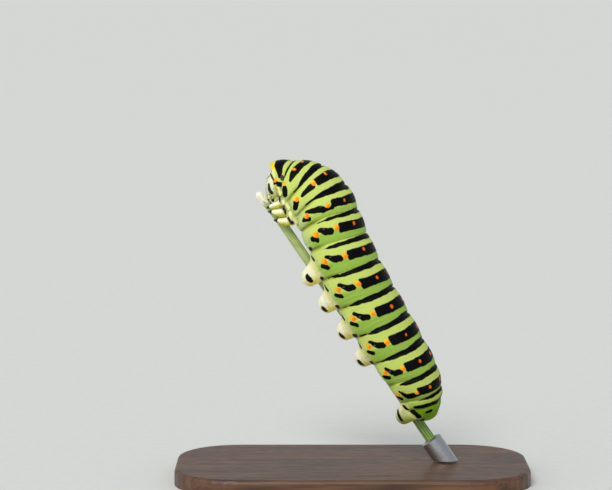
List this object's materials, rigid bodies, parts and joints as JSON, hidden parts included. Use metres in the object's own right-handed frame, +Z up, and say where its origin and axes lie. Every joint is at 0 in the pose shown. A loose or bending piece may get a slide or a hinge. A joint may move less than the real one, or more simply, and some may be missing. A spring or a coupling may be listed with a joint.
{
  "type": "british swallowtail larva",
  "caption": "Life-size swallowtail larva, black-banded green with orange spots, gripping a slanted flower stem that a short rod holds on a flat wooden base.",
  "frame": {"origin": "middle of the base's underside, on the surface that it stands on", "axes": "+Z up; +X to the right as the larva's left side is seen, with the head up and to -X; +Y away from the viewer"},
  "size_m": [0.05, 0.027, 0.045],
  "materials": {
    "skin": "smooth soft larval skin, satin, yellow-green with black bands and orange spots",
    "head": "smooth hard head capsule, satin, pale green with black stripes",
    "leg": "satin yellow-green with black claws",
    "proleg": "soft cream skin with black spots",
    "stem": "fresh green ribbed flower stem with a pale bud at the tip",
    "steel": "turned and brushed steel",
    "base_wood": "dark wood with a low sheen"
  },
  "bodies": {
    "root": {"head": "head", "antenna_left": "head", "antenna_right": "head", "thorax_1": "skin", "thorax_2": "skin", "thorax_3": "skin", "abdomen_1": "skin", "abdomen_2": "skin", "abdomen_3": "skin", "abdomen_4": "skin", "abdomen_5": "skin", "abdomen_6": "skin", "abdomen_7": "skin", "abdomen_8": "skin", "abdomen_9": "skin", "abdomen_10": "skin", "leg_1_left": "leg", "leg_1_right": "leg", "leg_2_left": "leg", "leg_2_right": "leg", "leg_3_left": "leg", "leg_3_right": "leg", "proleg_3_left": "proleg", "proleg_3_right": "proleg", "proleg_4_left": "proleg", "proleg_4_right": "proleg", "proleg_5_left": "proleg", "proleg_5_right": "proleg", "proleg_6_left": "proleg", "proleg_6_right": "proleg", "anal_proleg_left": "proleg", "anal_proleg_right": "proleg", "stem": "stem", "stand_rod": "steel", "stand_base": "base_wood"}
  },
  "joints": []
}
